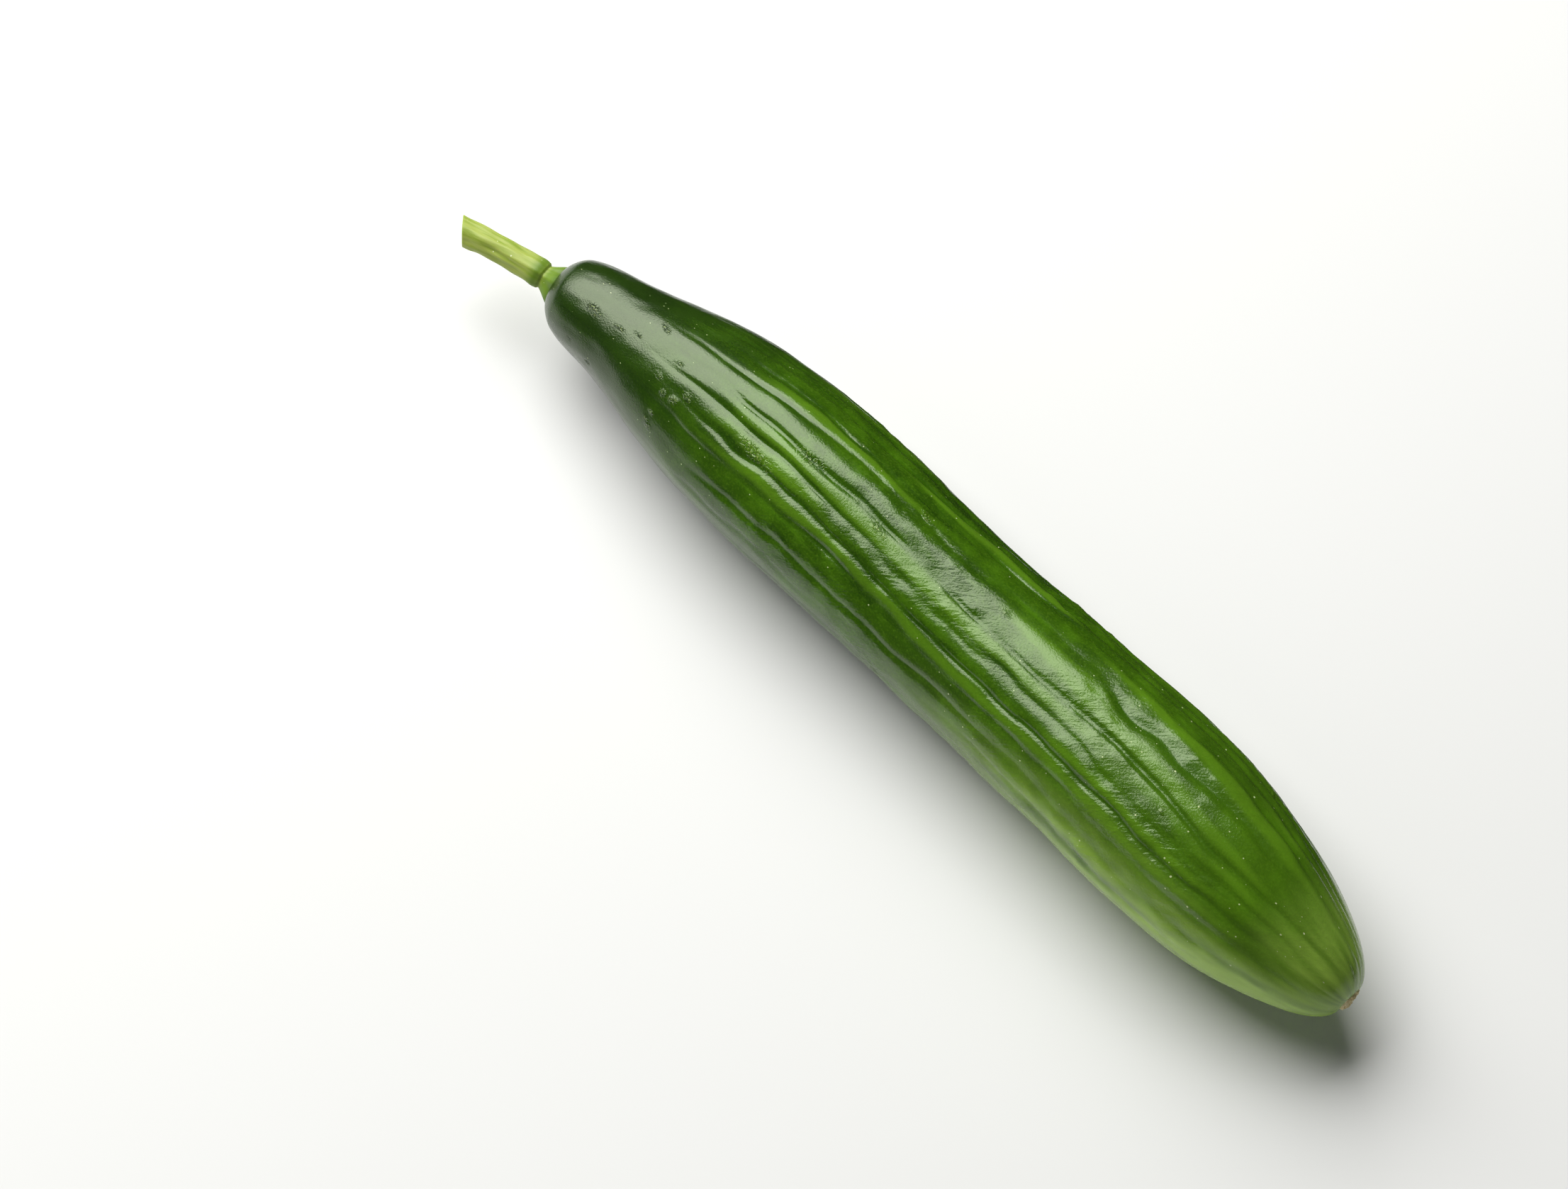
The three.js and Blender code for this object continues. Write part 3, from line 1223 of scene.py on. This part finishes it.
@dataclass
class Stalk:
    """The cut stalk, from the collar on the fruit to the slanting cut. Millimetres.

    The turns swing it from straight on towards -Y, and the knife went through at
    another turn, so the cut faces further round than the stalk runs.
    """

    spine: Spine
    turn_start: float = math.radians(7)
    turn_end: float = math.radians(17)
    rise: float = 1.6
    cut_turn: float = math.radians(42)
    cut_reach: float = 6.0
    dish_depth: float = 0.25
    root: float = 1.8
    round_radius: float = 2.8
    corners: int = 5
    rings: int = 150
    columns: int = 72
    cut_rings: int = 14

    def girth(self, out: np.ndarray) -> np.ndarray:
        """Reads the radius between stations, softened except at the crease.

        Args:
            out: Distances out from the fruit.

        Returns:
            One radius per distance.
        """
        stations = np.array(STALK_STATIONS)
        radius = np.interp(out, stations[:, 0], stations[:, 1])
        soft = np.convolve(np.pad(radius, 3, mode="edge"), np.ones(7) / 7.0, mode="valid")
        near_crease = smooth_between(out, 3.1, 3.7) * (1 - smooth_between(out, 4.2, 4.9))
        return soft + (radius - soft) * near_crease

    def course(self, out: np.ndarray) -> tuple[np.ndarray, np.ndarray]:
        """Follows the stalk from inside the fruit's end, turning and levelling out.

        Args:
            out: Evenly spaced distances out from the fruit.

        Returns:
            The centre line's points and its unit directions of travel.
        """
        reach = out[-1]
        share = np.clip(out / reach, 0.0, 1.0)
        turn = self.turn_start + (self.turn_end - self.turn_start) * share
        climb = (self.rise / reach) * (1.0 - share)
        travel = unit(np.stack([-np.cos(turn), -np.sin(turn), climb], axis=-1))
        start, _ = self.spine.centres(np.zeros(1))
        step = np.diff(out, prepend=out[0])
        return start + np.cumsum(travel * step[:, None], axis=0) - self.root * travel[0], travel

    def surface(self) -> tuple[np.ndarray, dict[str, np.ndarray]]:
        """Carries a five-angled section along the stalk's course.

        The radius is multiplied by one plus a small cosine of five times the angle, which
        is largest on the collar, and takes fine fibres. Towards its end the section leans
        into the slanting plane of the cut, which a shallow dish of shrinking rings closes.

        Returns:
            The grid of points in millimetres, and what the stalk's material reads: its
            place, and "joint", which is 1 on the knuckle and collar, rises to 2 where the
            collar meets the fruit, and is 0 elsewhere.
        """
        reach = STALK_STATIONS[-1][0]
        out = np.linspace(-self.root, reach, self.rings)
        centre, travel = self.course(out)
        angle = np.linspace(0.0, 2.0 * math.pi, self.columns, endpoint=False)
        angles, outs = np.meshgrid(angle, out)
        round_x, round_y = self.round_radius * np.cos(angles), self.round_radius * np.sin(angles)
        place = np.stack([round_x, round_y, outs], axis=-1)
        flared = np.exp(-((np.maximum(out, 0.0) / 2.6) ** 2))
        angular = (0.04 + 0.09 * flared)[:, None] * np.cos(self.corners * angles)
        fibres = 0.045 * ripple(place, (1.1, 1.1, 9.0), 23) + 0.05 * ripple(place, (2.5, 2.5, 5.0), 29)
        stand = self.girth(out)[:, None] * (1.0 + angular) + fibres
        grid = centre[:, None] + stand[..., None] * outward(travel, angles)

        facing = np.array([-math.cos(self.cut_turn), -math.sin(self.cut_turn), 0.0])
        run = travel[-1]
        leaning = smooth_between(out, reach - self.cut_reach, reach)[:, None, None]
        short = ((centre[-1] - grid[-1]) @ facing) / (run @ facing)
        grid = grid + leaning * short[None, :, None] * run
        shrink = np.linspace(0.0, 1.0, self.cut_rings + 1)[1:-1]
        middle = grid[-1].mean(axis=0)
        dish = self.dish_depth * (np.cos(math.pi * shrink) - 1.0) * 0.5
        face = middle + (1.0 - shrink)[:, None, None] * (grid[-1] - middle) + dish[:, None, None] * facing

        knuckle = np.exp(-(((outs - 5.0) / 1.7) ** 2))
        collar = 1.0 - smooth_between(outs, 2.6, 4.4)
        joint = np.maximum(knuckle, collar) + (1.0 - smooth_between(outs, -0.2, 2.2))
        face_place = np.repeat(place[-1:], len(shrink), axis=0)
        values = {
            "stalk_place": np.concatenate([place, face_place]) * MM,
            "joint": np.concatenate([joint, np.zeros((len(shrink), self.columns))]),
        }
        return np.concatenate([grid, face]), values

    def build(self, shift: np.ndarray, finish: FleshyStalk) -> bpy.types.Object:
        """Makes the piece and dresses it.

        Args:
            shift: From the spine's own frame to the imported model's, in millimetres.
            finish: Its finish.

        Returns:
            The new object.
        """
        grid, values = self.surface()
        piece = closed_tube("cut_stalk", (grid + shift) * MM, values)
        stand_for(piece, "stalk", finish.material())
        return piece


# ---------------------------------------------------------------------------------------
# The blossom scar
# ---------------------------------------------------------------------------------------
@dataclass
class BlossomScar:
    """The dry, crumbly patch at the blossom end. Sizes are in millimetres."""

    spine: Spine
    radius: float = 2.5
    thickness: float = 0.6
    tilt: float = 0.13
    lift: float = 0.45
    rim_sink: float = 0.5
    rings: int = 26
    columns: int = 60

    def surface(self) -> np.ndarray:
        """Heaps a ragged low dome on the seat, a little above its middle and tilted up.

        Going in from the rim, the dome's height is the thickness times the root of one
        minus the square of the share of the radius, roughened by two ripples. The rim
        itself is sunk into the seat.

        Returns:
            The grid of points in millimetres.
        """
        centre, travel = self.spine.centres(np.ones(1))
        level, over = across(travel)
        centre = centre + self.lift * over
        travel = unit(travel + self.tilt * over)
        level, over = across(travel)
        turn = np.linspace(0.0, 2.0 * math.pi, self.columns, endpoint=False)
        sweep = np.linspace(0.0, 0.5 * math.pi, self.rings)
        turns, sweeps = np.meshgrid(turn, sweep)
        ragged = 1.0 + 0.1 * np.sin(3 * turns + 0.4) + 0.07 * np.sin(7 * turns) + 0.05 * np.sin(13 * turns)
        spread = self.radius * np.cos(sweeps) * ragged
        flat = np.stack([spread * np.cos(turns), spread * np.sin(turns), np.zeros_like(turns)], axis=-1)
        crumbs = 0.13 * ripple(flat, (1.0, 1.0, 1.0), 31) + 0.08 * ripple(flat, (0.55, 0.55, 0.55), 37)
        dome = self.thickness * np.sin(sweeps) + crumbs * np.sin(2 * sweeps).clip(0.3)
        rise = dome - self.rim_sink * (sweeps == 0.0)
        return centre + flat[..., :1] * level + flat[..., 1:2] * over + rise[..., None] * travel

    def build(self, shift: np.ndarray, finish: DryCork) -> bpy.types.Object:
        """Makes the piece and dresses it.

        Args:
            shift: From the spine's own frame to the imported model's, in millimetres.
            finish: Its finish.

        Returns:
            The new object.
        """
        piece = closed_tube("blossom_end_scar", (self.surface() + shift) * MM, {})
        stand_for(piece, "blossom_scar", finish.material())
        return piece


# ---------------------------------------------------------------------------------------
# The studio
# ---------------------------------------------------------------------------------------
@dataclass
class Studio:
    """A white board, a large soft box overhead, a dim fill light, black flags and the camera.

    Sizes are in metres. middle is the middle of the fruit.
    """

    middle: Vector
    azimuth: float = math.radians(44.46)
    elevation: float = math.radians(64.0)
    distance: float = 1.2
    frame_right: float = -0.03246
    frame_up: float = 0.00512
    sensor_mm: float = 36.0
    lens_mm: float = 139.65
    board_radius: float = 12.0
    # The soft box hangs over the stalk end, a little behind the fruit.
    box_offset: tuple[float, float, float] = (-0.72, 0.18, 0.9)
    box_size: tuple[float, float] = (1.17, 1.242)
    box_radiance: float = 6.4
    box_colour: tuple[float, float, float] = (1.0, 0.99, 0.97)
    # The fill light is wide and dim, and hangs in front.
    fill_offset: tuple[float, float, float] = (-0.1, -1.0, 0.55)
    fill_size: tuple[float, float] = (1.1, 1.1)
    fill_radiance: float = 0.5
    fill_colour: tuple[float, float, float] = (1.0, 1.0, 1.0)
    # The black flags lie just over the board. The back one is turned up at its far edge.
    flag_lift: float = 0.0005
    back_flag_near: float = 0.034
    back_flag_far: float = 0.062
    back_flag_top: float = 0.05
    back_flag_half: float = 0.22
    front_flag_near: float = -0.14
    front_flag_far: float = -2.5
    front_flag_half: float = 2.0
    flag_cloth: str = "#181a16"
    dim: str = "#2a2c2a"
    seen: str = "#ffffff"

    def build(self) -> None:
        """Sets up the floor, the lights, the flags, the surroundings and the camera."""
        self._floor()
        self._lamp("soft_box", self.box_offset, self.box_size, self.box_radiance, self.box_colour)
        fill = self._lamp("fill", self.fill_offset, self.fill_size, self.fill_radiance, self.fill_colour)
        # So faint a light that the wax would show no reflection of it.
        fill.visible_glossy = False
        self._black_flags()
        self._surroundings()
        self._camera()
        bpy.context.scene.view_settings.view_transform = "Standard"

    def _floor(self) -> None:
        """Lays a large round board at z = 0."""
        count = 96
        turn = np.linspace(0.0, 2.0 * math.pi, count, endpoint=False)
        rim = self.board_radius * np.stack([np.cos(turn), np.sin(turn), np.zeros(count)], axis=-1)
        mesh = bpy.data.meshes.new("studio_floor")
        mesh.from_pydata(rim.tolist(), [], [list(range(count))])
        mesh.materials.append(StudioBoard().material())
        floor = bpy.data.objects.new("studio_floor", mesh)
        bpy.context.scene.collection.objects.link(floor)

    def _lamp(
        self,
        name: str,
        offset: tuple[float, float, float],
        size: tuple[float, float],
        radiance: float,
        colour: tuple[float, float, float],
    ) -> bpy.types.Object:
        """Hangs a rectangular lamp that faces the middle and that the camera doesn't see.

        Args:
            name: The lamp's name.
            offset: Its place from the middle.
            size: Its two sides.
            radiance: How bright its face is.
            colour: Its linear colour.

        Returns:
            The lamp.
        """
        light = bpy.data.lights.new(name, "AREA")
        light.shape = "RECTANGLE"
        light.size, light.size_y = size
        light.energy = radiance * math.pi * size[0] * size[1]
        light.color = colour
        lamp = bpy.data.objects.new(name, light)
        away = Vector(offset)
        turn = (-away).normalized().to_track_quat("-Z", "X").to_matrix().to_4x4()
        lamp.matrix_world = Matrix.Translation(self.middle + away) @ turn
        lamp.visible_camera = False
        bpy.context.scene.collection.objects.link(lamp)
        return lamp

    def _black_flags(self) -> None:
        """Lays black cloth behind and in front of the fruit, for its wax to reflect.

        The flag behind keeps the bright board out of the skin's far edge, which stays
        deep green with a thin light rim. The one in front ends the board's reflection a
        little below the skin's own horizon. They cast no shadow.
        """
        left, right = self.middle.x - self.back_flag_half, self.middle.x + self.back_flag_half
        near, behind = self.back_flag_near, self.back_flag_far
        low, high = self.flag_lift, self.back_flag_top
        front, far, wide = self.front_flag_near, self.front_flag_far, self.front_flag_half
        corners = [(left, near, low), (right, near, low), (right, behind, low), (left, behind, low)]
        corners += [(right, behind, high), (left, behind, high)]
        corners += [(-wide, far, low), (wide, far, low), (wide, front, low), (-wide, front, low)]
        mesh = bpy.data.meshes.new("black_flag")
        mesh.from_pydata(corners, [], [(0, 1, 2, 3), (3, 2, 4, 5), (6, 7, 8, 9)])
        material, tree = fresh_material("black flag cloth")
        cloth = add_node(tree, "BsdfDiffuse", {"Color": linear(self.flag_cloth)})
        add_node(tree, "OutputMaterial", {"Surface": cloth.outputs["BSDF"]})
        mesh.materials.append(material)
        flag = bpy.data.objects.new("black_flag", mesh)
        for unseen in ("visible_camera", "visible_diffuse", "visible_shadow", "visible_transmission"):
            setattr(flag, unseen, False)
        bpy.context.scene.collection.objects.link(flag)

    def _surroundings(self) -> None:
        """Makes the surroundings dim, and plain white to the camera itself."""
        world = bpy.data.worlds.new("studio_surroundings")
        bpy.context.scene.world = world
        world.use_nodes = True
        tree = world.node_tree
        tree.nodes.clear()
        lit, seen = (
            add_node(tree, "Background", {"Color": linear(colour), "Strength": 1.0}).outputs["Background"]
            for colour in (self.dim, self.seen)
        )
        to_eye = add_node(tree, "LightPath").outputs["Is Camera Ray"]
        shown = add_node(tree, "MixShader", {0: to_eye, 1: lit, 2: seen}).outputs[0]
        add_node(tree, "OutputWorld", {"Surface": shown})

    def _camera(self) -> None:
        """Stands the camera at its azimuth and elevation, aimed beside the middle."""
        sin_a, cos_a = math.sin(self.azimuth), math.cos(self.azimuth)
        sin_e, cos_e = math.sin(self.elevation), math.cos(self.elevation)
        back = Vector((sin_a * cos_e, -cos_a * cos_e, sin_e))
        right = Vector((cos_a, sin_a, 0.0))
        up = back.cross(right)
        camera_data = bpy.data.cameras.new("camera")
        camera_data.sensor_width = self.sensor_mm
        camera_data.lens = self.lens_mm
        camera_data.clip_end = 100.0
        camera = bpy.data.objects.new("camera", camera_data)
        spot = self.middle + back * self.distance + right * self.frame_right + up * self.frame_up
        turn = Matrix((right, up, back)).transposed().to_4x4()
        camera.matrix_world = Matrix.Translation(spot) @ turn
        bpy.context.scene.collection.objects.link(camera)
        bpy.context.scene.camera = camera


# ---------------------------------------------------------------------------------------
# Putting it together
# ---------------------------------------------------------------------------------------
def shift_to_frame(grid: np.ndarray) -> np.ndarray:
    """Finds the move that centres the fruit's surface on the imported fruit's box.

    Args:
        grid: The fruit's surface in the spine's own frame, in millimetres.

    Returns:
        The move along X and Y, in millimetres. Both frames have their floor at z = 0.
    """
    low, high = (np.array(corner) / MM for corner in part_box("fruit"))
    points = grid.reshape(-1, 3)
    move = 0.5 * (low + high) - 0.5 * (points.min(axis=0) + points.max(axis=0))
    return np.array([move[0], move[1], 0.0])


def report(piece: bpy.types.Object) -> None:
    """Logs a piece's name, size and triangle count.

    Args:
        piece: The piece.
    """
    corners = np.array([v.co for v in piece.data.vertices]) / MM
    size = corners.max(axis=0) - corners.min(axis=0)
    triangles = sum(len(face.vertices) - 2 for face in piece.data.polygons)
    LOG.info("%s: %.1f x %.1f x %.1f mm, %d triangles", piece.name, *size, triangles)


def main() -> None:
    """Builds the studio and the three pieces."""
    logging.basicConfig(level=logging.INFO, format="%(name)s: %(message)s")
    spine = Spine()
    fruit = Fruit(spine, SkinRelief())
    shift = shift_to_frame(fruit.surface()[0])
    Studio(middle=Vector((shift[0], shift[1], 20.0)) * MM).build()
    report(fruit.build(shift, WaxySkin()))
    report(Stalk(spine).build(shift, FleshyStalk()))
    report(BlossomScar(spine).build(shift, DryCork()))


if __name__ == "__main__":
    main()
